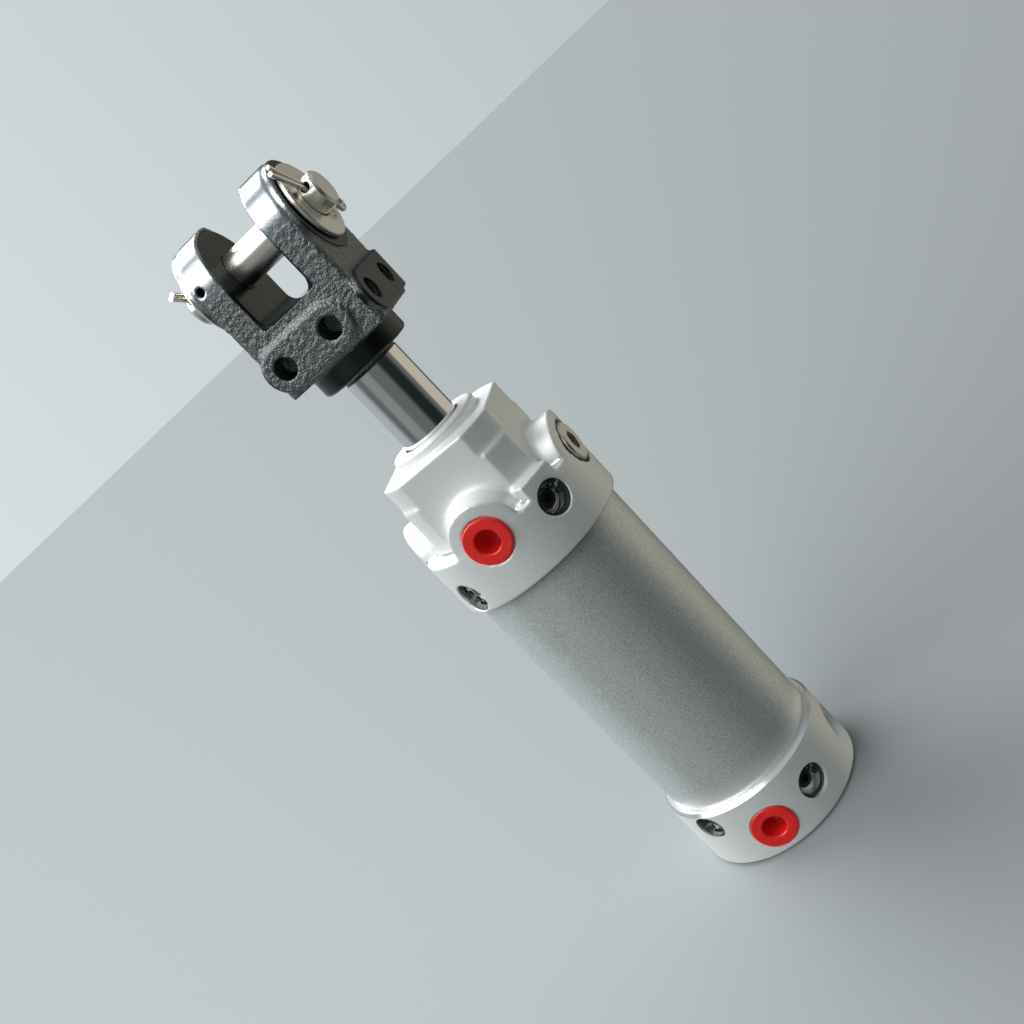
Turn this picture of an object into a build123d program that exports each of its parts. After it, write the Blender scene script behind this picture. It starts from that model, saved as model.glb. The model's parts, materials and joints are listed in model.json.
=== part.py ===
"""Pneumatic clamp cylinder: 50 mm bore, 50 mm stroke, with a fork clevis on the rod.

The cylinder stands on its flat end cap. The origin is the centre of the end cap's bottom face,
+Z runs along the cylinder axis towards the rod end, the working ports face -Y and the clevis pin
lies along X. The rod is drawn 20 mm out of its fully retracted position. Millimetres.
"""

from build123d import *
from math import cos, radians, sin
import os

os.makedirs("parts", exist_ok=True)

# ---------------------------------------------------------------- driving dimensions
bore_r = 25.0  # 50 mm bore
tube_r = 28.0  # tube outside
rod_r = 10.0
running_gap = 0.05  # radial clearance of every running fit

cap_r = 30.4
cap_height = 24.8
tube_length = 97.7
cover_r = 30.7  # skirt of the rod cover
skirt_length = 19.5
body_length = 46.5  # skirt and front body together
front_flat = 21.0  # half across the four flats
front_r = 25.1  # round corners between the flats
front_step = 9.0  # length of the slightly smaller front end
front_step_drop = 0.8
lug_width = 12.8  # raised lug of the skirt round the cushion needle
lug_rise = 4.8
nose_r = 16.0
nose_length = 3.5

spigot_r = 26.0  # threaded spigots that screw into the tube
spigot_length = 11.0
gasket_t = 1.9  # tube gaskets in the corner of each spigot
gasket_width = 2.4
stroke = 50.0
extension = 20.0  # how far the rod stands out at rest

# heights along the axis
cover_z = cap_height + tube_length
skirt_z = cover_z + skirt_length
front_z = cover_z + body_length
nose_z = front_z + nose_length
chamber_low = cap_height + spigot_length
chamber_high = cover_z - spigot_length
piston_length = chamber_high - chamber_low - stroke
piston_z = chamber_low + extension

# seats inside the rod cover, from the piston side out
bush_z = 149.0
bush_r = 12.5
seal_z = 163.0
seal_r = 14.0
land_z = 168.0  # land between the rod seal and the wiper
land_r = 12.0
wiper_z = 169.5
wiper_r = 13.0
nose_lip_r = 10.7
nose_lip = 0.9  # length of the lip that holds the wiper in

# ports, needles and valves: heights, then directions in degrees from +X
cover_port_z = 141.7
cap_port_z = 10.2
cover_needle_z = 137.4
cap_needle_z = 12.4
cover_valve_z = 128.5
cap_valve_z = 18.8
port_side = -90
plug_side = 0
needle_side = -45.7
valve_side = -130.5
cap_turn = 3.7  # how far the end cap is screwed on past the rod cover
cap_pocket_step = 36.5  # from the end cap's working port to its pockets
cap_port_side = port_side + cap_turn
cap_plug_side = plug_side + cap_turn
cap_needle_side = cap_port_side + cap_pocket_step
cap_valve_side = cap_port_side - cap_pocket_step
boss_r = 12.0
boss_face = 29.7  # distance of the flat round the front port from the axis
cap_port_face = 29.0
port_r = 5.8  # tapping size of the 1/4 inch port
port_flat_r = 7.9
plug_seat_r = 8.1
plug_seat_depth = 1.2
cap_plug_face = 27.4  # distance of the end cap's sunk plug from the axis
pocket_r = 5.6
cap_valve_pocket_r = 5.0
pocket_floor = 23.0  # distance of the pocket floors from the axis
pocket_depth = 10.0  # deep enough to come out through either cover
needle_r = 3.0
needle_bore = 7.0  # lengths inwards from the pocket floor
passage_length = 10.0
needle_seat_r = 1.6
valve_passage_r = 2.0
port_bottom = 11.0  # distance of the ports' inner ends from the axis
cushion_chamber_r = 14.0
cushion_seat_r = 16.0
cushion_seal_t = 4.0
chamber_floor = 5.0

# clevis
collar_z = 200.3
collar_r = 16.0
fork_z = 207.0
slot_z = 226.8
pin_z = 244.7
eye_r = 16.0
arm_half = 19.5  # half width over the cast arms
eye_half = 20.5  # half width over the machined eyes
slot_half = 9.75
pin_r = 6.0
pin_half = 27.6
washer_t = 1.6
pad_z = 215.6
pad_r = 7.0
pad_hole_r = 3.4  # tapping size of M8
pad_hole_gap = 18.6
side_pad_x = 20.9
front_pad_y = 17.1
front_pad_x = -4.0  # middle of the front pad
side_pad_y = -1.2  # middle of the side pad
pad_hole_depth = 8.0


def radial(angle, distance, height):
    """Plane whose normal points out of the axis at an angle, at a distance from it, with +Z up."""
    away = Vector(cos(radians(angle)), sin(radians(angle)), 0)
    return Plane(origin=away * distance + Vector(0, 0, height), x_dir=(-away.Y, away.X, 0), z_dir=away)


def keep(builder, name):
    """Label a finished piece and write it."""
    builder.part.label = name
    export_step(builder.part, f"parts/{name}.step")


# ---------------------------------------------------------------- tube
with BuildPart() as tube:
    with BuildSketch(Plane.XY.offset(cap_height)):
        Circle(tube_r)
        Circle(bore_r, mode=Mode.SUBTRACT)
    extrude(amount=tube_length)
    with BuildSketch(Plane.XY.offset(cap_height), Plane.XY.offset(cover_z - spigot_length - 0.5)):
        Circle(spigot_r)
    extrude(amount=spigot_length + 0.5, mode=Mode.SUBTRACT)
    outer_rims = tube.edges().filter_by(GeomType.CIRCLE).filter_by(lambda e: abs(e.radius - tube_r) < 0.01)
    chamfer(outer_rims, 0.4)
keep(tube, "tube")


# ---------------------------------------------------------------- rod cover
def port_boss(side):
    """Round port boss with a flared root, lying along a side direction."""
    root = front_flat - 1.0
    flare = 3.0
    with BuildPart() as boss:
        with BuildSketch(Plane.XZ):
            with BuildLine():
                Polyline(
                    (boss_r + flare, front_flat),
                    (boss_r + flare, root),
                    (0, root),
                    (0, cover_r + 1),
                    (boss_r, cover_r + 1),
                    (boss_r, front_flat + flare),
                )
                RadiusArc((boss_r, front_flat + flare), (boss_r + flare, front_flat), -flare)
            make_face()
        revolve(axis=Axis.Z)
    return radial(side, 0, cover_port_z) * boss.part


# round envelope of the bosses, just inside the skirt
with BuildPart() as boss_envelope:
    with BuildSketch(Plane.XY.offset(cover_z + 1)):
        Circle(cover_r - 0.1)
    extrude(amount=body_length)
bosses = [port_boss(side) & boss_envelope.part for side in (-90, 0, 90, 180)]

with BuildPart() as rod_cover:
    # skirt
    with BuildSketch(Plane.XY.offset(cover_z)):
        Circle(cover_r)
    extrude(amount=skirt_length)
    # raised part of the skirt round the cushion needle
    lug_plane = Plane(origin=(0, 0, skirt_z), x_dir=radial(needle_side, 1, 0).z_dir, z_dir=(0, 0, 1))
    with BuildSketch(lug_plane):
        Circle(cover_r)
        with Locations((cover_r / 2, 0)):
            Rectangle(cover_r, lug_width, mode=Mode.INTERSECT)
    extrude(amount=lug_rise)
    rear_rim = rod_cover.edges().filter_by(GeomType.CIRCLE).sort_by(Axis.Z)[0]
    chamfer(rear_rim, 0.4)
    # front body: round corners with four flats, slightly smaller at its front end
    for low, radius in ((skirt_z, front_r), (front_z - front_step, front_r - front_step_drop)):
        high = front_z - front_step if low == skirt_z else front_z
        with BuildSketch(Plane.XY.offset(low)):
            Circle(radius)
            Rectangle(2 * front_flat, 2 * front_flat, mode=Mode.INTERSECT)
        extrude(amount=high - low)
    # shoulder that blends the front body into the skirt
    shoulder = 1.6
    with BuildSketch(Plane.XY.offset(skirt_z)):
        Circle(front_r + shoulder)
        Rectangle(2 * (front_flat + shoulder), 2 * (front_flat + shoulder), mode=Mode.INTERSECT)
    extrude(amount=1.8, taper=41)
    # nose ring that the rod leaves through
    with BuildSketch(Plane.XY.offset(front_z)):
        Circle(nose_r)
    extrude(amount=nose_length)
    chamfer(rod_cover.edges().filter_by(GeomType.CIRCLE).sort_by(Axis.Z)[-1], 0.6)
    for boss in bosses:
        add(boss)
    # threaded spigot inside the tube, with its gasket groove
    with BuildSketch(Plane.XY.offset(chamber_high)):
        Circle(spigot_r)
    extrude(amount=spigot_length)
    with BuildSketch(Plane.XY.offset(chamber_high)):
        Circle(spigot_r)
        Circle(spigot_r - gasket_t, mode=Mode.SUBTRACT)
    extrude(amount=gasket_width, mode=Mode.SUBTRACT)
    # bore: cushion seal seat, cushion chamber, bush, rod seal, land, wiper and nose lip
    for low, high, radius in (
        (chamber_high, chamber_high + cushion_seal_t, cushion_seat_r),
        (chamber_high + cushion_seal_t, bush_z, cushion_chamber_r),
        (bush_z, seal_z, bush_r),
        (seal_z, land_z, seal_r),
        (land_z, wiper_z, land_r),
        (wiper_z, nose_z - nose_lip, wiper_r),
        (nose_z - nose_lip, nose_z, nose_lip_r),
    ):
        with BuildSketch(Plane.XY.offset(low)):
            Circle(radius)
        extrude(amount=high - low, mode=Mode.SUBTRACT)
    # flat round the working port, deeper seat of the plugged one, and both ports
    with BuildSketch(radial(port_side, boss_face, cover_port_z)):
        Circle(port_flat_r)
    extrude(amount=3, mode=Mode.SUBTRACT)
    with BuildSketch(radial(plug_side, boss_face - plug_seat_depth, cover_port_z)):
        Circle(plug_seat_r)
    extrude(amount=5, mode=Mode.SUBTRACT)
    for side in (port_side, plug_side):
        with BuildSketch(radial(side, boss_face, cover_port_z)):
            Circle(port_r)
        extrude(amount=port_bottom - boss_face, mode=Mode.SUBTRACT)
    # needle pocket and valve pocket, then the passages to the cushion chamber
    for side, height, radius, depth in (
        (needle_side, cover_needle_z, pocket_r, -pocket_depth),
        (valve_side, cover_valve_z, pocket_r, -pocket_depth),
        (needle_side, cover_needle_z, needle_r + running_gap, needle_bore),
        (needle_side, cover_needle_z, needle_seat_r, passage_length),
        (valve_side, cover_valve_z, valve_passage_r, passage_length),
    ):
        with BuildSketch(radial(side, pocket_floor, height)):
            Circle(radius)
        extrude(amount=-depth, mode=Mode.SUBTRACT)
keep(rod_cover, "rod_cover")

# ---------------------------------------------------------------- end cap
cap_lip = 1.0  # bright chamfer round the front of the end cap
cap_edge = 1.2
cap_port_end_r = port_r - 1.3
cap_port_depth = 11.0
with BuildPart() as end_cap:
    with BuildSketch(Plane.XZ):
        with BuildLine():
            Polyline(
                (0, 0),
                (cap_r - cap_edge, 0),
                (cap_r, cap_edge),
                (cap_r, cap_height - cap_lip),
                (cap_r - cap_lip, cap_height),
                (spigot_r, cap_height),
                (spigot_r, chamber_low - gasket_width),
                (spigot_r - gasket_t, chamber_low - gasket_width),
                (spigot_r - gasket_t, chamber_low),
                (cushion_seat_r, chamber_low),
                (cushion_seat_r, chamber_low - cushion_seal_t),
                (cushion_chamber_r, chamber_low - cushion_seal_t),
                (cushion_chamber_r, chamber_floor),
                (0, chamber_floor),
                close=True,
            )
        make_face()
    revolve(axis=Axis.Z)
    # flat round the working port, countersunk mouth of the plugged one, and both ports
    with BuildSketch(radial(cap_port_side, cap_port_face, cap_port_z)):
        Circle(port_flat_r)
    extrude(amount=3, mode=Mode.SUBTRACT)
    with BuildSketch(radial(cap_plug_side, cap_r, cap_port_z)):
        Circle(port_flat_r)
    extrude(amount=-2.1, taper=45, mode=Mode.SUBTRACT)
    for side in (cap_port_side, cap_plug_side):
        with BuildSketch(radial(side, cap_port_face, cap_port_z)):
            Circle(cap_port_end_r)
        extrude(amount=port_bottom - cap_port_face, mode=Mode.SUBTRACT)
        with BuildSketch(radial(side, cap_port_face, cap_port_z)):
            Circle(port_r)
        extrude(amount=-cap_port_depth, mode=Mode.SUBTRACT)
    # needle pocket and valve pocket, with their passages
    for side, height, radius, depth in (
        (cap_needle_side, cap_needle_z, pocket_r, -pocket_depth),
        (cap_valve_side, cap_valve_z, cap_valve_pocket_r, -pocket_depth),
        (cap_needle_side, cap_needle_z, needle_r + running_gap, needle_bore),
        (cap_needle_side, cap_needle_z, needle_seat_r, passage_length),
        (cap_valve_side, cap_valve_z, valve_passage_r, passage_length),
    ):
        with BuildSketch(radial(side, pocket_floor, height)):
            Circle(radius)
        extrude(amount=-depth, mode=Mode.SUBTRACT)
keep(end_cap, "end_cap")


# ---------------------------------------------------------------- rings on the cylinder axis
def ring(name, low, high, inner, outer, edge=0.0):
    """Plain ring on the cylinder axis between two heights."""
    with BuildPart() as piece:
        with BuildSketch(Plane.XY.offset(low)):
            Circle(outer)
            Circle(inner, mode=Mode.SUBTRACT)
        extrude(amount=high - low)
        if edge:
            circles = piece.edges().filter_by(GeomType.CIRCLE)
            chamfer(circles.filter_by(lambda e: e.radius > inner + 0.01), edge)
    keep(piece, name)


rod_gap_r = rod_r + running_gap
cushion_r = 13.0
cushion_seal_r = cushion_r + running_gap

ring("front_tube_gasket", chamber_high, chamber_high + gasket_width, spigot_r - gasket_t, bore_r)
ring("rear_tube_gasket", chamber_low - gasket_width, chamber_low, spigot_r - gasket_t, bore_r)
ring("front_cushion_seal", chamber_high, chamber_high + cushion_seal_t, cushion_seal_r, cushion_seat_r, 0.4)
ring("rear_cushion_seal", chamber_low - cushion_seal_t, chamber_low, cushion_seal_r, cushion_seat_r, 0.4)
ring("rod_bush", bush_z, seal_z, rod_gap_r, bush_r)
ring("rod_seal", seal_z, land_z, rod_gap_r, seal_r)

# rod wiper: ring held in by the nose lip, with its own lip on the rod inside the opening
with BuildPart() as rod_wiper:
    with BuildSketch(Plane.XZ):
        with BuildLine():
            Polyline(
                (rod_gap_r, wiper_z),
                (wiper_r, wiper_z),
                (wiper_r, nose_z - nose_lip),
                (nose_lip_r - 0.1, nose_z - nose_lip),
                (rod_gap_r + 0.3, nose_z - 0.3),
                (rod_gap_r, nose_z - 0.3),
                close=True,
            )
        make_face()
    revolve(axis=Axis.Z)
keep(rod_wiper, "rod_wiper")

# ---------------------------------------------------------------- piston and rod
piston_r = bore_r - 0.3
wear_r = bore_r - running_gap
split_z = piston_z + 11.0
top_z = piston_z + piston_length
stud_r = 8.0  # rod end inside the piston
thread_r = 9.0  # rod end inside the clevis
groove_gap = 0.1  # play between the piston and the rings that turn in its grooves


def grooved_ring(name, low, high, inner, outer, grooves):
    """Ring on the axis with square grooves, each given as (low, high, radius from, radius to)."""
    with BuildPart() as piece:
        with BuildSketch(Plane.XY.offset(low)):
            Circle(outer)
            Circle(inner, mode=Mode.SUBTRACT)
        extrude(amount=high - low)
        for groove_low, groove_high, groove_inner, groove_outer in grooves:
            with BuildSketch(Plane.XY.offset(groove_low)):
                Circle(groove_outer)
                Circle(groove_inner, mode=Mode.SUBTRACT)
            extrude(amount=groove_high - groove_low, mode=Mode.SUBTRACT)
    keep(piece, name)


wear_low, wear_high, wear_root = piston_z + 3.0, piston_z + 8.0, 22.5
seal_low, seal_high, seal_root = split_z + 6.0, split_z + 11.0, 20.0
magnet_high, magnet_inner, magnet_outer = split_z + 3.5, 18.0, 24.2
oring_low, oring_high, oring_outer = split_z - 1.8, split_z, 9.6

grooved_ring(
    "piston_rear_half", piston_z, split_z, stud_r, piston_r,
    [(wear_low, wear_high, wear_root, piston_r + 1), (oring_low, oring_high, stud_r - 1, oring_outer)],
)
grooved_ring(
    "piston_front_half", split_z, top_z, stud_r, piston_r,
    [(seal_low, seal_high, seal_root, piston_r + 1), (split_z, magnet_high, magnet_inner, magnet_outer)],
)
ring("wear_ring", wear_low + groove_gap, wear_high - groove_gap, wear_root + groove_gap, wear_r, 0.2)
ring("piston_seal", seal_low + groove_gap, seal_high - groove_gap, seal_root + groove_gap, wear_r, 0.5)
ring("piston_magnet", split_z, magnet_high, magnet_inner, magnet_outer)
ring("rod_oring", oring_low, oring_high, stud_r, oring_outer)

cushion_length = 16.0
nut_height = 8.0
ring("front_cushion_ring", top_z, top_z + cushion_length, rod_r, cushion_r, 0.8)
ring("rear_cushion_ring", piston_z - cushion_length, piston_z, stud_r, cushion_r, 0.8)
nut_z = piston_z - cushion_length - nut_height
with BuildPart() as piston_nut:
    with BuildSketch(Plane.XY.offset(nut_z)):
        RegularPolygon(10.5, 6, major_radius=False)
        Circle(stud_r, mode=Mode.SUBTRACT)
    extrude(amount=nut_height)
    # 30 degree corner chamfers at both ends
    with BuildSketch(Plane.XZ):
        with BuildLine():
            Polyline(
                (0, nut_z),
                (10.7, nut_z),
                (12.4, nut_z + 1.0),
                (12.4, nut_z + nut_height - 1.0),
                (10.7, nut_z + nut_height),
                (0, nut_z + nut_height),
                close=True,
            )
        make_face()
    revolve(axis=Axis.Z, mode=Mode.INTERSECT)
keep(piston_nut, "piston_nut")

stud_end = nut_z - 1.5
thread_end = 222.0
with BuildPart() as piston_rod:
    with BuildSketch(Plane.XZ):
        with BuildLine():
            Polyline(
                (0, stud_end),
                (stud_r - 1, stud_end),
                (stud_r, stud_end + 1),
                (stud_r, top_z),
                (rod_r, top_z),
                (rod_r, collar_z - 1.5),
                (thread_r, collar_z),
                (thread_r, thread_end - 1),
                (thread_r - 1, thread_end),
                (0, thread_end),
                close=True,
            )
        make_face()
    revolve(axis=Axis.Z)
    # hole for the clevis spring pin
    lock_z = 212.0
    lock_r = 2.0
    with BuildSketch(Plane.XZ.offset(-thread_r)):
        with Locations((0, lock_z)):
            Circle(lock_r)
    extrude(amount=4.0, mode=Mode.SUBTRACT)
keep(piston_rod, "piston_rod")

# ---------------------------------------------------------------- clevis
with BuildPart() as clevis:
    # fork blank: block with a round end, seen along the pin
    with BuildSketch(Plane.YZ.offset(-arm_half)):
        with Locations((0, (fork_z + pin_z) / 2)):
            Rectangle(2 * eye_r, pin_z - fork_z)
        with Locations((0, pin_z)):
            Circle(eye_r)
    extrude(amount=2 * arm_half)
    upright = clevis.edges().filter_by(Axis.Z).filter_by(lambda e: e.center().Z < pin_z)
    fillet(upright, 2.0)
    # machined eye faces
    with BuildSketch(Plane.YZ.offset(-eye_half)):
        with Locations((0, pin_z)):
            Circle(eye_r - 0.4)
    extrude(amount=2 * eye_half)
    # collar under the fork
    with BuildSketch(Plane.XY.offset(collar_z)):
        Circle(collar_r)
    extrude(amount=fork_z - collar_z)
    chamfer(clevis.edges().filter_by(GeomType.CIRCLE).sort_by(Axis.Z)[0], 0.8)
    # tapped pads: one towards -Y, one towards +X, each on a raised sloping foot
    with BuildSketch(Plane.XZ.offset(front_pad_y)):
        with Locations((front_pad_x, pad_z)):
            SlotCenterToCenter(pad_hole_gap, 2 * pad_r)
    extrude(amount=-(front_pad_y - eye_r + 2), taper=-25)
    with BuildSketch(Plane.YZ.offset(side_pad_x)):
        with Locations((side_pad_y, pad_z)):
            SlotCenterToCenter(pad_hole_gap, 2 * pad_r)
        with Locations((side_pad_y + pad_hole_gap / 2, pad_z)):
            Rectangle(2 * (eye_r - side_pad_y - pad_hole_gap / 2) - 1, 2 * pad_r)
    extrude(amount=-(side_pad_x - arm_half + 1.5), taper=-15)
    with BuildSketch(Plane.XZ.offset(front_pad_y)):
        with Locations((front_pad_x - pad_hole_gap / 2, pad_z), (front_pad_x + pad_hole_gap / 2, pad_z)):
            Circle(pad_hole_r)
    extrude(amount=-pad_hole_depth, mode=Mode.SUBTRACT)
    with BuildSketch(Plane.YZ.offset(side_pad_x)):
        with Locations((side_pad_y - pad_hole_gap / 2, pad_z), (side_pad_y + pad_hole_gap / 2, pad_z)):
            Circle(pad_hole_r)
    extrude(amount=-pad_hole_depth, mode=Mode.SUBTRACT)
    # slot between the arms, with rounded corners at its bottom
    slot_top = pin_z + eye_r + 1
    with BuildSketch(Plane.XZ.offset(-eye_r - 2)):
        with Locations((0, (slot_z + slot_top) / 2)):
            Rectangle(2 * slot_half, slot_top - slot_z)
        fillet(vertices().group_by(Axis.Z)[0], 4.0)
    extrude(amount=2 * eye_r + 4, mode=Mode.SUBTRACT)
    # thread for the rod, bores for the pin and the spring pin, and the oil hole in one arm
    with BuildSketch(Plane.XY.offset(collar_z)):
        Circle(thread_r)
    extrude(amount=thread_end - collar_z, mode=Mode.SUBTRACT)
    with BuildSketch(Plane.YZ.offset(-eye_half)):
        with Locations((0, pin_z)):
            Circle(pin_r + running_gap)
    extrude(amount=2 * eye_half, mode=Mode.SUBTRACT)
    with BuildSketch(Plane.XZ.offset(-eye_r)):
        with Locations((0, lock_z)):
            Circle(lock_r)
    extrude(amount=eye_r - 5, mode=Mode.SUBTRACT)
    with BuildSketch(Plane.XZ.offset(eye_r)):
        with Locations((-16.2, pin_z + 2.4)):
            Circle(1.3)
    extrude(amount=-9.5, mode=Mode.SUBTRACT)
keep(clevis, "clevis")

with BuildPart() as clevis_spring_pin:
    with BuildSketch(Plane.XZ.offset(-eye_r + 0.5)):
        with Locations((0, lock_z)):
            Circle(lock_r)
            Circle(lock_r - 0.6, mode=Mode.SUBTRACT)
            Rectangle(0.6, 2 * lock_r, align=(Align.CENTER, Align.MIN), mode=Mode.SUBTRACT)
    extrude(amount=eye_r - 0.5 - 5)
keep(clevis_spring_pin, "clevis_spring_pin")

# ---------------------------------------------------------------- clevis pin, washers and split pins
cross_x = 24.4  # split pin holes, from the middle of the pin
cross_tilt = 33.0  # how far the split pins lean up from -Y
cross_r = 1.65
wire_r = 0.75
wire_half_gap = 0.85

across = Plane(
    origin=(0, 0, pin_z),
    x_dir=(0, -cos(radians(cross_tilt)), sin(radians(cross_tilt))),
    z_dir=(1, 0, 0),
)

with BuildPart() as clevis_pin:
    with BuildSketch(Plane.YZ.offset(-pin_half)):
        with Locations((0, pin_z)):
            Circle(pin_r)
    extrude(amount=2 * pin_half)
    chamfer(clevis_pin.edges().filter_by(GeomType.CIRCLE), 0.8)
    for side in (-1, 1):
        hole_plane = Plane(
            origin=across.origin + Vector(side * cross_x, 0, 0), x_dir=(1, 0, 0), z_dir=across.x_dir
        )
        with BuildSketch(hole_plane):
            Circle(cross_r)
        extrude(amount=pin_r + 1, both=True, mode=Mode.SUBTRACT)
keep(clevis_pin, "clevis_pin")

washer_r = 13.0
washer_gap = 0.1
with BuildPart() as pin_washers:
    for low in (eye_half + washer_gap, -eye_half - washer_gap - washer_t):
        with BuildSketch(Plane.YZ.offset(low)):
            with Locations((0, pin_z)):
                Circle(washer_r)
                Circle(pin_r + 0.4, mode=Mode.SUBTRACT)
        extrude(amount=washer_t)
    rims = pin_washers.edges().filter_by(GeomType.CIRCLE).filter_by(lambda e: e.radius > washer_r - 0.1)
    chamfer(rims, 0.3)
keep(pin_washers, "pin_washers")


def split_pin(name, x, long_tip, short_tip):
    """Wire folded into a loop, with two legs through the pin and bent to their tips."""
    plane = across.offset(x)
    with BuildPart() as piece:
        with BuildLine(plane) as wire:
            FilletPolyline(
                long_tip,
                (8.6, wire_half_gap),
                (-7.6, wire_half_gap),
                (-10.2, 2.9),
                (-13.6, 0.0),
                (-10.2, -2.9),
                (-7.6, -wire_half_gap),
                (7.6, -wire_half_gap),
                short_tip,
                radius=(4.0, 1.6, 1.7, 1.9, 1.7, 1.6, 4.0),
            )
        with BuildSketch(Plane(origin=wire.line @ 0, z_dir=wire.line % 0)):
            Circle(wire_r)
        sweep(path=wire.line)
    keep(piece, name)


split_pin("split_pin_right", cross_x, (22.4, 1.4), (21.4, -1.5))
split_pin("split_pin_left", -cross_x, (16.2, 2.3), (14.6, 0.3))


# ---------------------------------------------------------------- needles, valve plugs and circlips
def turned_bar(plane, sections):
    """Stack of round (from, to, radius) sections along a plane's normal."""
    with BuildPart() as bar:
        for low, high, radius in sections:
            with BuildSketch(plane.offset(low)):
                Circle(radius)
            extrude(amount=high - low)
    return bar.part


oring_seat = 3.4  # how deep the needle's O-ring sits below the pocket floor
oring_width = 1.4
oring_root = 2.0


def cushion_needle(name, side, height):
    """Adjusting needle: threaded shank with an O-ring groove, slim tip and a hexagon socket."""
    plane = radial(side, pocket_floor, height)
    seat = -oring_seat
    top = 3.0
    sections = [
        (-7.5, seat - oring_width - 0.6, 1.2),
        (seat - oring_width - 0.6, seat - oring_width, needle_r),
        (seat - oring_width, seat, oring_root),
        (seat, top, needle_r),
    ]
    bar = turned_bar(plane, sections)
    with BuildPart() as needle:
        add(bar)
        with BuildSketch(plane.offset(top)):
            RegularPolygon(1.5, 6, major_radius=False)
        extrude(amount=-2.0, mode=Mode.SUBTRACT)
        rim = needle.edges().filter_by(GeomType.CIRCLE).sort_by(Axis(plane.origin, plane.z_dir))[-1]
        chamfer(rim, 0.4)
    keep(needle, name)
    with BuildPart() as oring:
        with BuildSketch(plane.offset(seat - oring_width + 0.1)):
            Circle(needle_r)
            Circle(oring_root + 0.1, mode=Mode.SUBTRACT)
        extrude(amount=oring_width - 0.2)
    keep(oring, f"{name}_oring")


cushion_needle("front_cushion_needle", needle_side, cover_needle_z)
cushion_needle("rear_cushion_needle", cap_needle_side, cap_needle_z)


def valve_plug(name, side, height, radius):
    """Check valve seat pressed into its pocket, with a small hexagon recess."""
    plane = radial(side, pocket_floor, height)
    thick = 2.6
    with BuildPart() as plug:
        with BuildSketch(plane):
            Circle(radius)
        extrude(amount=thick)
        rim = plug.edges().filter_by(GeomType.CIRCLE).sort_by(Axis(plane.origin, plane.z_dir))[-1]
        fillet(rim, 0.9)
        with BuildSketch(plane.offset(thick)):
            RegularPolygon(1.6, 6, major_radius=False)
        extrude(amount=-1.8, mode=Mode.SUBTRACT)
    keep(plug, name)


valve_plug("front_check_valve", valve_side, cover_valve_z, pocket_r)
valve_plug("rear_check_valve", cap_valve_side, cap_valve_z, cap_valve_pocket_r)

clip_distance = 4.6  # from the pocket floor to the circlip
clip_t = 0.9
clip_width = 0.9


def circlip(side, height, radius, turn):
    """Internal retaining ring in a pocket: an open C with two drilled lugs, its gap turned by an angle."""
    plane = radial(side, pocket_floor + clip_distance, height)
    lugs = [
        ((radius - 1.9) * cos(radians(turn + step)), (radius - 1.9) * sin(radians(turn + step)))
        for step in (-24, 24)
    ]
    with BuildPart() as clip:
        with BuildSketch(plane):
            Circle(radius)
            Circle(radius - clip_width, mode=Mode.SUBTRACT)
            with Locations(*lugs):
                Circle(1.15)
            Rectangle(
                radius + 1, 1.1, rotation=turn, align=(Align.MIN, Align.CENTER), mode=Mode.SUBTRACT
            )
            with Locations(*lugs):
                Circle(0.5, mode=Mode.SUBTRACT)
        extrude(amount=clip_t)
    return clip.part


clips = [
    circlip(needle_side, cover_needle_z, pocket_r, 20),
    circlip(cap_needle_side, cap_needle_z, pocket_r, 30),
    circlip(valve_side, cover_valve_z, pocket_r, 200),
    circlip(cap_valve_side, cap_valve_z, cap_valve_pocket_r, 200),
]
with BuildPart() as retaining_rings:
    for clip in clips:
        add(clip)
keep(retaining_rings, "retaining_rings")


# ---------------------------------------------------------------- port plugs
socket_half = 3.0  # half across the flats of the plugs' hexagon sockets
socket_depth = 5.0

# steel screw plug of the rod cover, on its sealing washer
seal_t = 0.8
head_t = 1.3
head_r = 6.9
plug_length = 8.0
front_plug_plane = radial(plug_side, boss_face - plug_seat_depth, cover_port_z)
front_plug_bar = turned_bar(
    front_plug_plane, [(-plug_length, seal_t, port_r), (seal_t, seal_t + head_t, head_r)]
)
with BuildPart() as front_hex_plug:
    add(front_plug_bar)
    chamfer(front_hex_plug.edges().filter_by(GeomType.CIRCLE).sort_by(Axis.X)[-1], 0.5)
    with BuildSketch(front_plug_plane.offset(seal_t + head_t)):
        RegularPolygon(socket_half, 6, major_radius=False)
    extrude(amount=-socket_depth, mode=Mode.SUBTRACT)
keep(front_hex_plug, "front_hex_plug")

with BuildPart() as front_hex_plug_seal:
    with BuildSketch(front_plug_plane):
        Circle(port_flat_r)
        Circle(port_r, mode=Mode.SUBTRACT)
    extrude(amount=seal_t)
keep(front_hex_plug_seal, "front_hex_plug_seal")

# headless plug sunk in the end cap
rear_plug_plane = radial(cap_plug_side, cap_plug_face, cap_port_z)
with BuildPart() as rear_hex_plug:
    with BuildSketch(rear_plug_plane):
        Circle(port_r)
    extrude(amount=-plug_length)
    chamfer(rear_hex_plug.edges().filter_by(GeomType.CIRCLE).sort_by(Axis.X)[-1], 0.5)
    with BuildSketch(rear_plug_plane):
        RegularPolygon(socket_half, 6, major_radius=False)
    extrude(amount=-socket_depth, mode=Mode.SUBTRACT)
keep(rear_hex_plug, "rear_hex_plug")


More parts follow.
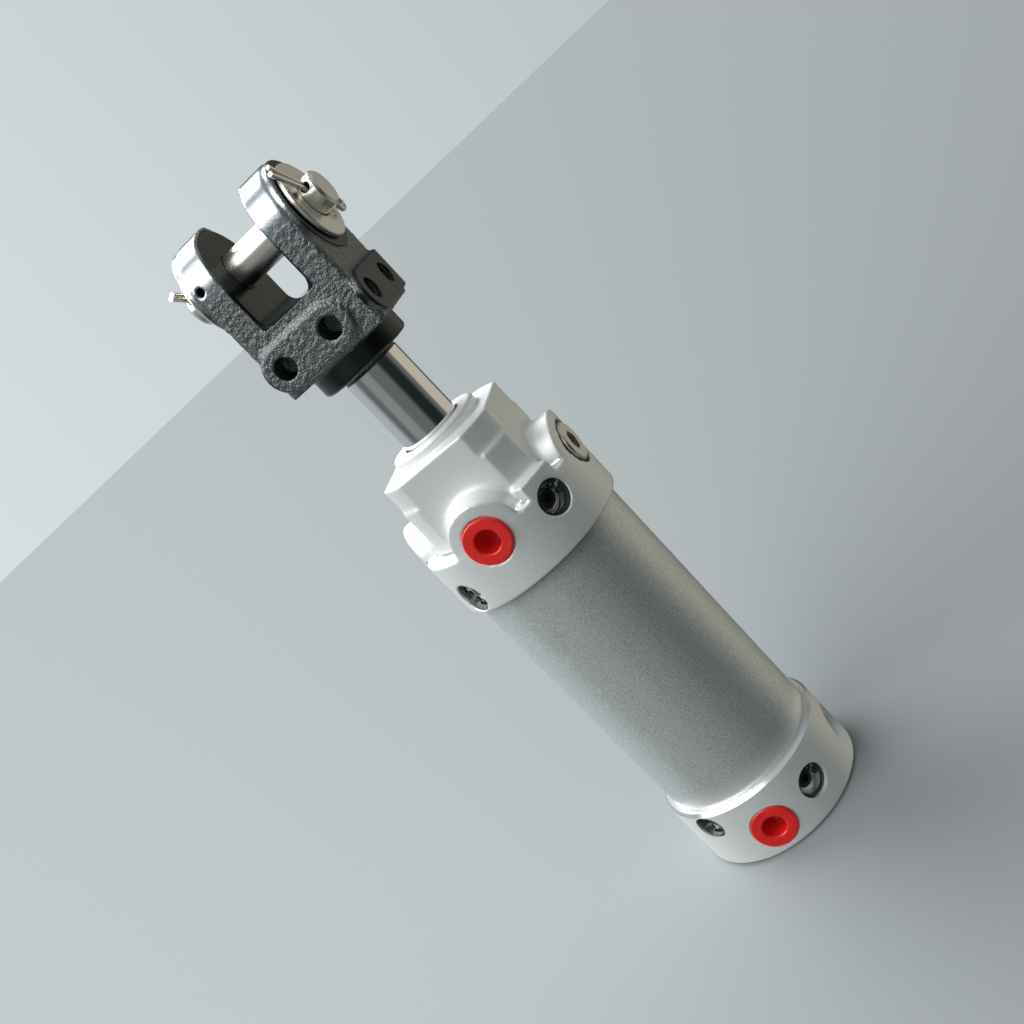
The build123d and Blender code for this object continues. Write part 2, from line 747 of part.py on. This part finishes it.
def port_plug(name, side, distance, height):
    """Hollow push-in plastic plug with a rounded flange and a tapered shank."""
    flange_r, flange_t, hollow_r = 7.6, 1.5, 3.8
    floor_z, end_z = -7.0, -8.6
    base = 0.05
    with BuildPart() as plug:
        with BuildSketch(Plane.XZ):
            with BuildLine():
                Polyline(
                    (hollow_r, flange_t),
                    (hollow_r, floor_z),
                    (0, floor_z),
                    (0, end_z),
                    (port_r - 0.8, end_z),
                    (port_r - running_gap, 0),
                    (port_r - running_gap, base),
                    (flange_r, base),
                    (flange_r, flange_t),
                    close=True,
                )
            make_face()
        revolve(axis=Axis.Z)
        fillet(plug.edges().group_by(Axis.Z)[-1], 0.7)
    placed = radial(side, distance, height) * plug.part
    placed.label = name
    export_step(placed, f"parts/{name}.step")


port_plug("front_port_plug", port_side, boss_face, cover_port_z)
port_plug("rear_port_plug", cap_port_side, cap_port_face, cap_port_z)
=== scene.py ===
"""Looks of the pneumatic clamp cylinder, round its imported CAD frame. Metres, +Z along the cylinder axis."""

import json
import math

import bpy
import numpy as np
from mathutils import Matrix, Vector, noise


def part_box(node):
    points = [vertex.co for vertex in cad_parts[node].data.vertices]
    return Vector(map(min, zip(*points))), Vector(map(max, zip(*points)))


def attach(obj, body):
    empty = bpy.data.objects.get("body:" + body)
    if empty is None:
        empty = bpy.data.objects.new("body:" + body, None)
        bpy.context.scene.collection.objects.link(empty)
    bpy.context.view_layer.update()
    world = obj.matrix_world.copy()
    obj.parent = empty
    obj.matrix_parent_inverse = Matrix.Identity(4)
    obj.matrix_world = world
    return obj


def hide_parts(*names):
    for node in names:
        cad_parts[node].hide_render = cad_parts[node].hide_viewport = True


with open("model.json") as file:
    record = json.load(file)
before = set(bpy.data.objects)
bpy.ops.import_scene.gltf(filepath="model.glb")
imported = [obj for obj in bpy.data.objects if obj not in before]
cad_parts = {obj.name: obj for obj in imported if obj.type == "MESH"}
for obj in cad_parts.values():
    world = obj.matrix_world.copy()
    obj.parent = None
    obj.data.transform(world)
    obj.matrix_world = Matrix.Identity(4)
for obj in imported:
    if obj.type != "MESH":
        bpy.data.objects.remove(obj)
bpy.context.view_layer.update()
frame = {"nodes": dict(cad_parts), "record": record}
NODES = frame["nodes"]
MM = 0.001

# ---------------------------------------------------------------- places taken from the frame
CAP_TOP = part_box("tube")[0].z
SKIRT_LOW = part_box("tube")[1].z
NEEDLE_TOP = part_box("front_cushion_needle")[1].z
PIN = (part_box("clevis_pin")[0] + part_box("clevis_pin")[1]) / 2
CAP_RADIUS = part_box("end_cap")[1].x
SKIRT_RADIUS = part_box("rod_cover")[1].x
FORK_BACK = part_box("clevis")[0].y
COLLAR_TOP = PIN.z - 37.6 * MM
SLOT_FLOOR = PIN.z - 17.9 * MM


# ---------------------------------------------------------------- camera
AIM = Vector((0, 0, 0.1358))
AZIMUTH, ELEVATION, ROLL = 20.96, 14.31, 43.82  # degrees
DISTANCE = 0.3768
LENS = 42.38


def direction(azimuth, elevation):
    """Unit vector; azimuth in degrees from +X, elevation above the floor."""
    azimuth, elevation = math.radians(azimuth), math.radians(elevation)
    level = math.cos(elevation)
    return Vector((math.cos(azimuth) * level, math.sin(azimuth) * level, math.sin(elevation)))


def add_camera():
    back = direction(AZIMUTH - 90, ELEVATION)
    level = Vector((0, 0, 1)).cross(back).normalized()
    right = Matrix.Rotation(math.radians(-ROLL), 3, back) @ level
    data = bpy.data.cameras.new("camera")
    data.lens = LENS
    data.sensor_width = 36
    data.clip_start, data.clip_end = 0.01, 200
    camera = bpy.data.objects.new("camera", data)
    bpy.context.scene.collection.objects.link(camera)
    turned = Matrix((right, back.cross(right), back)).transposed().to_4x4()
    camera.matrix_world = Matrix.Translation(AIM + back * DISTANCE) @ turned
    bpy.context.scene.camera = camera


# ---------------------------------------------------------------- backdrop, floor and light
BACKDROP = (0.485, 0.535, 0.55)  # what the camera sees past the floor
PAPER = (0.288, 0.313, 0.322)
# The two fades below are painted shade: the backdrop's and the floor's colour darken towards +X, where the
# light falls off.
BACKDROP_FADE = 0.6  # how much darker the backdrop is towards +X
PAPER_FADE = 0.36  # and the floor
FADE_REACH = 0.10  # metres from the axis at which half of the floor's fade is reached
# Soft light round the object: (azimuth, elevation, inner and outer angle, colour, strength), each laid over
# the ones before. Everything is at an infinite distance, so that the floor is evenly lit.
ROOM = (0.13, 0.147, 0.144)
LAYERS = (
    (150, -15, 30, 60, (0.90, 0.97, 1.00), 0.50),  # pale side behind and to the left
    (0, 90, 25, 75, (0.96, 0.98, 1.00), 0.45),  # ceiling
    (111, 12, 8, 20, (0.90, 0.95, 1.00), 0.05),  # dark band behind
    (138, 50, 6, 26, (1.00, 1.00, 0.99), 8.5),  # large softbox above and behind
    (205, 42, 8, 22, (1.00, 1.00, 0.98), 4.5),  # smaller one to the left
    (-120, 45, 10, 30, (1.00, 1.00, 1.00), 3.6),  # fill to the left of the camera, above
    (-115, -12, 8, 26, (0.95, 1.00, 0.98), 0.27),  # low strip that the rod mirrors
    (-28, -12, 12, 32, (0.90, 1.00, 0.98), 0.02),  # black flag to the right of the camera
    (42, -10, 24, 33, (1.00, 0.89, 0.72), 0.56),  # warm wall on the right
)


def side_fade(tree, vector, fade, reach):
    """1 in the middle, falling towards +X and rising towards -X."""
    split = tree.nodes.new("ShaderNodeSeparateXYZ")
    tree.links.new(vector, split.inputs[0])
    flat = tree.nodes.new("ShaderNodeCombineXYZ")
    tree.links.new(split.outputs["X"], flat.inputs["X"])
    tree.links.new(split.outputs["Y"], flat.inputs["Y"])
    length = tree.nodes.new("ShaderNodeVectorMath")
    length.operation = "LENGTH"
    tree.links.new(flat.outputs[0], length.inputs[0])
    longer = math_node(tree, "ADD", length.outputs["Value"], reach)
    ratio = math_node(tree, "DIVIDE", split.outputs["X"], longer)
    return math_node(tree, "MULTIPLY_ADD", ratio, -fade, 1.0)


def math_node(tree, operation, *values):
    node = tree.nodes.new("ShaderNodeMath")
    node.operation = operation
    for socket, value in zip(node.inputs, values):
        if isinstance(value, (int, float)):
            socket.default_value = value
        else:
            tree.links.new(value, socket)
    return node.outputs[0]


def scaled(tree, color, factor):
    """Colour times a value."""
    node = tree.nodes.new("ShaderNodeVectorMath")
    node.operation = "SCALE"
    node.inputs[0].default_value = color
    tree.links.new(factor, node.inputs["Scale"])
    return node.outputs["Vector"]


def add_world():
    world = bpy.data.worlds.new("studio")
    bpy.context.scene.world = world
    world.use_nodes = True
    tree = world.node_tree
    tree.nodes.clear()
    way = tree.nodes.new("ShaderNodeTexCoord").outputs["Generated"]
    light = tree.nodes.new("ShaderNodeRGB").outputs[0]
    light.default_value = (*ROOM, 1)
    for azimuth, elevation, inner, outer, color, strength in LAYERS:
        dot = tree.nodes.new("ShaderNodeVectorMath")
        dot.operation = "DOT_PRODUCT"
        dot.inputs[1].default_value = direction(azimuth, elevation)
        tree.links.new(way, dot.inputs[0])
        mask = tree.nodes.new("ShaderNodeMapRange")
        mask.interpolation_type = "SMOOTHSTEP"
        mask.inputs["From Min"].default_value = math.cos(math.radians(outer))
        mask.inputs["From Max"].default_value = math.cos(math.radians(inner))
        tree.links.new(dot.outputs["Value"], mask.inputs["Value"])
        mix = tree.nodes.new("ShaderNodeMix")
        mix.data_type = "RGBA"
        tree.links.new(mask.outputs["Result"], mix.inputs["Factor"])
        tree.links.new(light, mix.inputs["A"])
        mix.inputs["B"].default_value = (*(channel * strength for channel in color), 1)
        light = mix.outputs["Result"]
    lit = tree.nodes.new("ShaderNodeBackground")
    tree.links.new(light, lit.inputs["Color"])
    seen = tree.nodes.new("ShaderNodeBackground")
    # painted shade: the backdrop seen by the camera darkens towards +X
    tree.links.new(scaled(tree, BACKDROP, side_fade(tree, way, BACKDROP_FADE, 0.0)), seen.inputs["Color"])
    mix = tree.nodes.new("ShaderNodeMixShader")
    tree.links.new(tree.nodes.new("ShaderNodeLightPath").outputs["Is Camera Ray"], mix.inputs[0])
    tree.links.new(lit.outputs[0], mix.inputs[1])
    tree.links.new(seen.outputs[0], mix.inputs[2])
    out = tree.nodes.new("ShaderNodeOutputWorld")
    tree.links.new(mix.outputs[0], out.inputs["Surface"])


def add_floor():
    """Pale paper. It takes shadows, and mirrors and light pass it, so metal doesn't show its far edge."""
    mesh = bpy.data.meshes.new("floor")
    half = 60.0
    corners = [(-half, -half, 0), (half, -half, 0), (half, half, 0), (-half, half, 0)]
    mesh.from_pydata(corners, [], [(0, 1, 2, 3)])
    floor = bpy.data.objects.new("floor", mesh)
    bpy.context.scene.collection.objects.link(floor)
    floor.location.z = -0.0002
    floor.visible_glossy = False
    floor.visible_shadow = False
    floor.visible_diffuse = False
    paper = bpy.data.materials.new("paper")
    paper.use_nodes = True
    tree = paper.node_tree
    tree.nodes.clear()
    place = tree.nodes.new("ShaderNodeTexCoord").outputs["Object"]
    diffuse = tree.nodes.new("ShaderNodeBsdfDiffuse")
    # painted shade: the paper's colour darkens towards +X
    shade = side_fade(tree, place, PAPER_FADE, FADE_REACH)
    tree.links.new(scaled(tree, PAPER, shade), diffuse.inputs["Color"])
    out = tree.nodes.new("ShaderNodeOutputMaterial")
    tree.links.new(diffuse.outputs[0], out.inputs["Surface"])
    mesh.materials.append(paper)


def set_up_studio():
    bpy.context.scene.view_settings.view_transform = "Standard"
    add_camera()
    add_world()
    add_floor()


# ---------------------------------------------------------------- material helpers
class Surface:
    """A Principled material with a few node helpers."""

    def __init__(self, name, color, metallic=0.0, roughness=0.5, **sockets):
        self.material = bpy.data.materials.new(name)
        self.material.use_nodes = True
        self.tree = self.material.node_tree
        self.shader = self.tree.nodes["Principled BSDF"]
        self.set("Base Color", (*color, 1))
        self.set("Metallic", metallic)
        self.set("Roughness", roughness)
        for socket, value in sockets.items():
            self.set(socket, value)
        self.place = self.node("ShaderNodeTexCoord").outputs["Object"]

    def set(self, socket, value):
        self.shader.inputs[socket].default_value = value

    def node(self, kind, **values):
        node = self.tree.nodes.new(kind)
        for key, value in values.items():
            setattr(node, key, value)
        return node

    def link(self, output, target):
        self.tree.links.new(output, target)

    def math(self, operation, *values):
        return math_node(self.tree, operation, *values)

    def noise(self, size_mm, detail=3.0, roughness=0.6, stretch=(1, 1, 1)):
        """Noise whose features are about size_mm across."""
        mapping = self.node("ShaderNodeMapping")
        mapping.inputs["Scale"].default_value = stretch
        self.link(self.place, mapping.inputs["Vector"])
        noise = self.node("ShaderNodeTexNoise")
        noise.inputs["Scale"].default_value = 1 / (size_mm * MM)
        noise.inputs["Detail"].default_value = detail
        noise.inputs["Roughness"].default_value = roughness
        self.link(mapping.outputs["Vector"], noise.inputs["Vector"])
        return noise.outputs["Fac"]

    def ramp(self, factor, stops):
        """Colour ramp through (position, value or colour) stops."""
        node = self.node("ShaderNodeValToRGB")
        ramp = node.color_ramp
        while len(ramp.elements) < len(stops):
            ramp.elements.new(0.5)
        for element, (position, value) in zip(ramp.elements, stops):
            element.position = position
            color = value if isinstance(value, tuple) else (value, value, value)
            element.color = (*color, 1)
        self.link(factor, node.inputs["Fac"])
        return node.outputs["Color"]

    def between(self, value, low, high):
        """0 at low, 1 at high, smooth between."""
        node = self.node("ShaderNodeMapRange", interpolation_type="SMOOTHSTEP")
        node.inputs["From Min"].default_value = low
        node.inputs["From Max"].default_value = high
        self.link(value, node.inputs["Value"])
        return node.outputs["Result"]

    def coordinates(self):
        """X, Y, Z and the distance from the cylinder axis."""
        split = self.node("ShaderNodeSeparateXYZ")
        self.link(self.place, split.inputs[0])
        x, y, z = split.outputs
        radius = self.math("SQRT", self.math("ADD", self.math("MULTIPLY", x, x), self.math("MULTIPLY", y, y)))
        return x, y, z, radius

    def mix(self, factor, first, second):
        """Colours or values; each is an output, a tuple or a number."""
        node = self.node("ShaderNodeMix", data_type="RGBA")
        self.link(factor, node.inputs["Factor"])
        for socket, value in (("A", first), ("B", second)):
            if isinstance(value, (int, float)):
                value = (value, value, value)
            if isinstance(value, tuple):
                node.inputs[socket].default_value = (*value, 1)
            else:
                self.link(value, node.inputs[socket])
        return node.outputs["Result"]

    def drive(self, socket, output):
        self.link(output, self.shader.inputs[socket])

    def bump(self, height, depth_mm, strength=1.0):
        bump = self.node("ShaderNodeBump")
        bump.inputs["Distance"].default_value = depth_mm * MM
        bump.inputs["Strength"].default_value = strength
        self.link(height, bump.inputs["Height"])
        if self.shader.inputs["Normal"].is_linked:
            self.link(self.shader.inputs["Normal"].links[0].from_socket, bump.inputs["Normal"])
        self.link(bump.outputs["Normal"], self.shader.inputs["Normal"])


# ---------------------------------------------------------------- materials
def anodised_tube():
    """Blasted and anodised: sandy grain, paler where the end cap's bright lip throws light on it."""
    s = Surface("anodised_tube", (0.6, 0.62, 0.6), 0.6, 0.38)
    z = s.coordinates()[2]
    glow = s.between(z, CAP_TOP + 9 * MM, CAP_TOP + 1 * MM)
    grain = s.ramp(s.noise(0.4, 4), [(0.38, (0.50, 0.545, 0.54)), (0.62, (0.86, 0.92, 0.91))])
    # painted shadow: a thin dark band on the tube just below the skirt, where the skirt shades it
    skirt_painted_shadow = s.between(z, SKIRT_LOW - 1.1 * MM, SKIRT_LOW - 0.6 * MM)
    s.drive("Base Color", s.mix(skirt_painted_shadow, s.mix(glow, grain, (0.93, 0.94, 0.94)), (0.05, 0.055, 0.055)))
    s.drive("Roughness", s.ramp(s.noise(1.1), [(0.3, 0.32), (0.7, 0.42)]))
    s.bump(s.noise(0.4, 4), 0.07)
    return s.material


def cast_aluminium():
    """Bead-blasted casting, with bright machined pockets in the skirt."""
    s = Surface("cast_aluminium", (0.8, 0.81, 0.8), 0.5, 0.5)
    z, radius = s.coordinates()[2:]
    low = s.between(z, NEEDLE_TOP + 3.2 * MM, NEEDLE_TOP + 3.0 * MM)
    pocket = s.math("MULTIPLY", low, s.between(radius, SKIRT_RADIUS - 0.5 * MM, SKIRT_RADIUS - 0.8 * MM))
    grain = s.ramp(s.noise(0.5, 4), [(0.35, (0.84, 0.88, 0.87)), (0.65, (0.96, 0.99, 0.98))])
    s.drive("Base Color", s.mix(pocket, grain, (0.97, 0.98, 0.99)))
    s.drive("Metallic", s.mix(pocket, 0.5, 1.0))
    s.drive("Roughness", s.mix(pocket, s.ramp(s.noise(1.0), [(0.3, 0.46), (0.7, 0.56)]), 0.22))
    s.bump(s.noise(0.45, 4), 0.05)
    return s.material


def machined_aluminium():
    """Satin end cap with a bright turned lip and bright pockets."""
    s = Surface("machined_aluminium", (0.5, 0.51, 0.5), 0.5, 0.3)
    x, _, z, radius = s.coordinates()
    lip = s.between(z, CAP_TOP - 1.1 * MM, CAP_TOP - 0.9 * MM)
    front = s.between(x, 18 * MM, 16 * MM)  # leaves out the sunk plug on the +X side
    pocket = s.math("MULTIPLY", front, s.between(radius, CAP_RADIUS - 0.5 * MM, CAP_RADIUS - 0.8 * MM))
    grain = s.ramp(s.noise(0.6, 4), [(0.3, (0.93, 0.97, 0.96)), (0.7, (0.97, 1.0, 0.99))])
    bright = s.math("MAXIMUM", lip, pocket)
    s.drive("Base Color", s.mix(bright, grain, (0.90, 0.92, 0.93)))
    s.drive("Metallic", s.mix(bright, 0.5, 1.0))
    s.drive("Roughness", s.mix(bright, s.ramp(s.noise(0.8), [(0.3, 0.47), (0.7, 0.54)]), 0.2))
    s.bump(s.noise(0.5, 3), 0.015)
    return s.material


def hard_chrome():
    s = Surface("hard_chrome", (0.80, 0.815, 0.83), 1.0, 0.05)
    s.drive("Roughness", s.ramp(s.noise(0.5, stretch=(1, 1, 12)), [(0.3, 0.035), (0.7, 0.07)]))
    return s.material


def black_casting():
    """Black fork: glinting cast skin, dark machined pads and a painted pale bluish sheen on the upper round
    of each eye, by values kept per point.
    """
    s = Surface("black_casting", (0.10, 0.105, 0.11), 1.0, 0.28)
    skin = s.node("ShaderNodeAttribute", attribute_name="skin").outputs["Fac"]
    eye_sheen = s.node("ShaderNodeAttribute", attribute_name="eye_sheen").outputs["Fac"]
    body = s.mix(skin, (0.05, 0.055, 0.056), (0.20, 0.215, 0.22))
    # painted sheen: the upper round of each eye is coloured pale bluish metal for the bright sheen it catches
    s.drive("Base Color", s.mix(eye_sheen, body, (0.45, 0.50, 0.53)))
    rough = s.mix(skin, s.ramp(s.noise(0.9), [(0.3, 0.24), (0.7, 0.34)]), 0.2)
    s.drive("Roughness", s.mix(eye_sheen, rough, 0.22))
    s.bump(s.math("MULTIPLY", s.noise(0.6, detail=4), s.math("MULTIPLY_ADD", skin, 0.9, 0.1)), 0.35)
    return s.material


def plated(name, color, roughness):
    s = Surface(name, color, 1.0, roughness)
    s.drive("Roughness", s.ramp(s.noise(0.6), [(0.3, roughness * 0.8), (0.7, roughness * 1.25)]))
    s.bump(s.noise(0.8), 0.01)
    return s.material


def red_plastic():
    s = Surface("red_plastic", (0.78, 0.012, 0.01), 0.0, 0.22, **{"Coat Weight": 0.4, "Coat Roughness": 0.08})
    s.drive("Base Color", s.ramp(s.noise(4.0), [(0.3, (0.86, 0.014, 0.014)), (0.7, (0.95, 0.026, 0.020))]))
    s.bump(s.noise(1.5), 0.02)
    return s.material


def plain(name, color, roughness, metallic=0.0):
    s = Surface(name, color, metallic, roughness)
    s.drive("Roughness", s.ramp(s.noise(0.8), [(0.3, roughness * 0.9), (0.7, min(1, roughness * 1.1))]))
    return s.material


def make_materials():
    return {
        "anodised_tube": anodised_tube(),
        "cast_aluminium": cast_aluminium(),
        "machined_aluminium": machined_aluminium(),
        "hard_chrome": hard_chrome(),
        "black_casting": black_casting(),
        "zinc_steel": plated("zinc_steel", (0.97, 0.93, 0.85), 0.28),
        "wire_steel": plated("wire_steel", (0.76, 0.73, 0.68), 0.22),
        "nickel_steel": plated("nickel_steel", (0.92, 0.88, 0.80), 0.24),
        "black_oxide": plain("black_oxide", (0.03, 0.032, 0.035), 0.28),
        "red_plastic": red_plastic(),
        "seal_rubber": plain("seal_rubber", (0.015, 0.015, 0.015), 0.5),
        "bearing_bronze": plain("bearing_bronze", (0.62, 0.45, 0.24), 0.35, 1.0),
        "piston_aluminium": plain("piston_aluminium", (0.7, 0.7, 0.7), 0.3, 1.0),
        "wear_resin": plain("wear_resin", (0.35, 0.22, 0.12), 0.6),
        "magnet_rubber": plain("magnet_rubber", (0.12, 0.12, 0.12), 0.6),
    }


MATERIALS = make_materials()


def paint_nodes():
    slots = {row["node"]: row["material_slot"] for row in frame["record"]["subparts"]}
    for name, node in NODES.items():
        node.data.materials.clear()
        node.data.materials.append(MATERIALS[slots[name]])


# ---------------------------------------------------------------- cast pieces, made from the CAD shapes
def smoothstep(values, low, high):
    t = np.clip((values - low) / (high - low), 0, 1)
    return t * t * (3 - 2 * t)


class Casting:
    """Finely remeshed copy of a CAD node, kept as arrays while its corners are rounded and roughened."""

    def __init__(self, node, voxel_mm):
        self.node = node
        source = NODES[node]
        body = bpy.data.objects.new(f"{node}_blank", source.data.copy())
        bpy.context.scene.collection.objects.link(body)
        remesh = body.modifiers.new("remesh", "REMESH")
        remesh.mode = "VOXEL"
        remesh.voxel_size = voxel_mm * MM
        evaluated = body.evaluated_get(bpy.context.evaluated_depsgraph_get())
        self.mesh = bpy.data.meshes.new_from_object(evaluated)
        bpy.data.objects.remove(body)
        self.points = np.empty(len(self.mesh.vertices) * 3)
        self.mesh.vertices.foreach_get("co", self.points)
        self.points = self.points.reshape(-1, 3)
        edges = np.empty(len(self.mesh.edges) * 2, dtype=np.int64)
        self.mesh.edges.foreach_get("vertices", edges)
        self.edges = edges.reshape(-1, 2)
        self.degree = np.bincount(edges, minlength=len(self.points))

    def normals(self):
        self.mesh.vertices.foreach_set("co", self.points.ravel())
        self.mesh.update()
        normals = np.empty(len(self.points) * 3)
        self.mesh.vertex_normals.foreach_get("vector", normals)
        return normals.reshape(-1, 3)

    def towards_neighbours(self):
        total = np.zeros_like(self.points)
        first, second = self.edges.T
        for axis in range(3):
            total[:, axis] = np.bincount(first, self.points[second, axis], len(self.points))
            total[:, axis] += np.bincount(second, self.points[first, axis], len(self.points))
        return total / self.degree[:, None] - self.points

    def relax(self, steps, weight):
        for _ in range(steps):
            self.points += self.towards_neighbours() * (weight * 0.5)[:, None]

    def fill_corners(self, steps, weight):
        """Grow a fillet in inner corners and leave outer edges as they are."""
        for step in range(steps):
            if step % 6 == 0:
                normals = self.normals()
            pull = self.towards_neighbours()
            out = (pull * normals).sum(axis=1)
            self.points += pull * (weight * (out > 0) * 0.5)[:, None]

    def mark(self, name, values):
        """Keep a value per point for the material to read."""
        attribute = self.mesh.attributes.new(name, "FLOAT", "POINT")
        attribute.data.foreach_set("value", np.asarray(values, dtype=np.float32))

    def finish(self, name, body, slot):
        self.normals()
        piece = bpy.data.objects.new(name, self.mesh)
        bpy.context.scene.collection.objects.link(piece)
        self.mesh.materials.clear()
        self.mesh.materials.append(MATERIALS[slot])
        self.mesh.shade_smooth()
        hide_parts(self.node)
        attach(piece, body)
        return piece


def noise_at(points, size_mm, octaves=3):
    """Fractal noise, about -1 to 1, at each point."""
    scale = 1 / (size_mm * MM)
    return np.array([noise.fractal(Vector(point) * scale, 0.8, 2.0, octaves) for point in points])


def near_axis(points, start, way, radius_mm):
    """1 for points outside a round zone about an axis, 0 inside it."""
    away = points - np.array(start)
    along = away @ np.array(way)
    distance = np.linalg.norm(away - along[:, None] * np.array(way), axis=1)
    return smoothstep(distance, radius_mm * MM, (radius_mm + 0.6) * MM)


def middle(node):
    low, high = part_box(node)
    return (low + high) / 2


def cast_rod_cover():
    """Rod cover with the soft inner corners of a die casting."""
    cover = Casting("rod_cover", 0.4)
    points = cover.points
    free = smoothstep(np.hypot(points[:, 0], points[:, 1]), 17 * MM, 18 * MM)
    free *= smoothstep(points[:, 2], SKIRT_LOW + 0.6 * MM, SKIRT_LOW + 1.2 * MM)
    zones = (
        ("front_port_plug", 8.4),
        ("front_hex_plug", 8.6),
        ("front_cushion_needle", 6.2),
        ("front_check_valve", 6.2),
    )
    for node, radius_mm in zones:
        place = middle(node)
        way = Vector((place.x, place.y, 0)).normalized()
        ahead = smoothstep(points @ np.array(way), 2 * MM, 3 * MM)
        free *= 1 - ahead * (1 - near_axis(points, place, way, radius_mm))
    cover.relax(2, free)
    cover.fill_corners(48, free)
    cover.relax(2, free)
    cover.finish("cast_rod_cover", "barrel", "cast_aluminium")


# Bands over which the fork's skin changes: from the middle plane, then from the pin's axis.
SLOT_SIDE = (9.9 * MM, 10.6 * MM)
CHEEK_SIDE = (20.1 * MM, 19.7 * MM)
PIN_BORE = (6.4 * MM, 7.0 * MM)
EYE_ROUND = (15.2 * MM, 15.6 * MM)
EYE_SHEEN = (15.1 * MM, 15.5 * MM)


def cast_clevis():
    """Fork with a coarse sand-cast skin, except on its machined faces."""
    fork = Casting("clevis", 0.4)
    x, y, z = fork.points.T
    pin_distance = np.hypot(y, z - PIN.z)
    rough = smoothstep(z, COLLAR_TOP - 0.5 * MM, COLLAR_TOP + 0.5 * MM)
    below_slot = smoothstep(z, SLOT_FLOOR + 0.4 * MM, SLOT_FLOOR - 0.4 * MM)
    rough *= smoothstep(abs(x), *SLOT_SIDE) + below_slot > 0.5
    rough = rough * smoothstep(abs(x), *CHEEK_SIDE)
    rough *= smoothstep(y, FORK_BACK + 0.3 * MM, FORK_BACK + 0.8 * MM)
    rough *= smoothstep(pin_distance, *PIN_BORE)
    eye_skin = smoothstep(pin_distance, *EYE_ROUND) * smoothstep(z, PIN.z - 6 * MM, PIN.z + 3 * MM)
    rough *= 1 - eye_skin
    # painted sheen: marks the upper round of the eye, on the side facing the light, for a pale bluish colour
    eye_sheen = smoothstep(pin_distance, *EYE_SHEEN) * smoothstep(z, PIN.z - 4 * MM, PIN.z)
    everywhere = np.ones(len(fork.points))
    fork.relax(2, everywhere)
    fork.fill_corners(14, rough)
    normals = fork.normals()
    lumps = noise_at(fork.points, 1.3, 4) * 0.6 + noise_at(fork.points + 0.05, 0.6, 2) * 0.4
    depth = np.clip(lumps, -0.8, 0.8) * 0.30 * MM - 0.12 * MM
    fork.points += normals * (depth * rough)[:, None]
    fork.mark("skin", rough)
    fork.mark("eye_sheen", eye_sheen)
    fork.finish("cast_clevis", "rod", "black_casting")


set_up_studio()
paint_nodes()
cast_rod_cover()
cast_clevis()
bpy.context.view_layer.update()
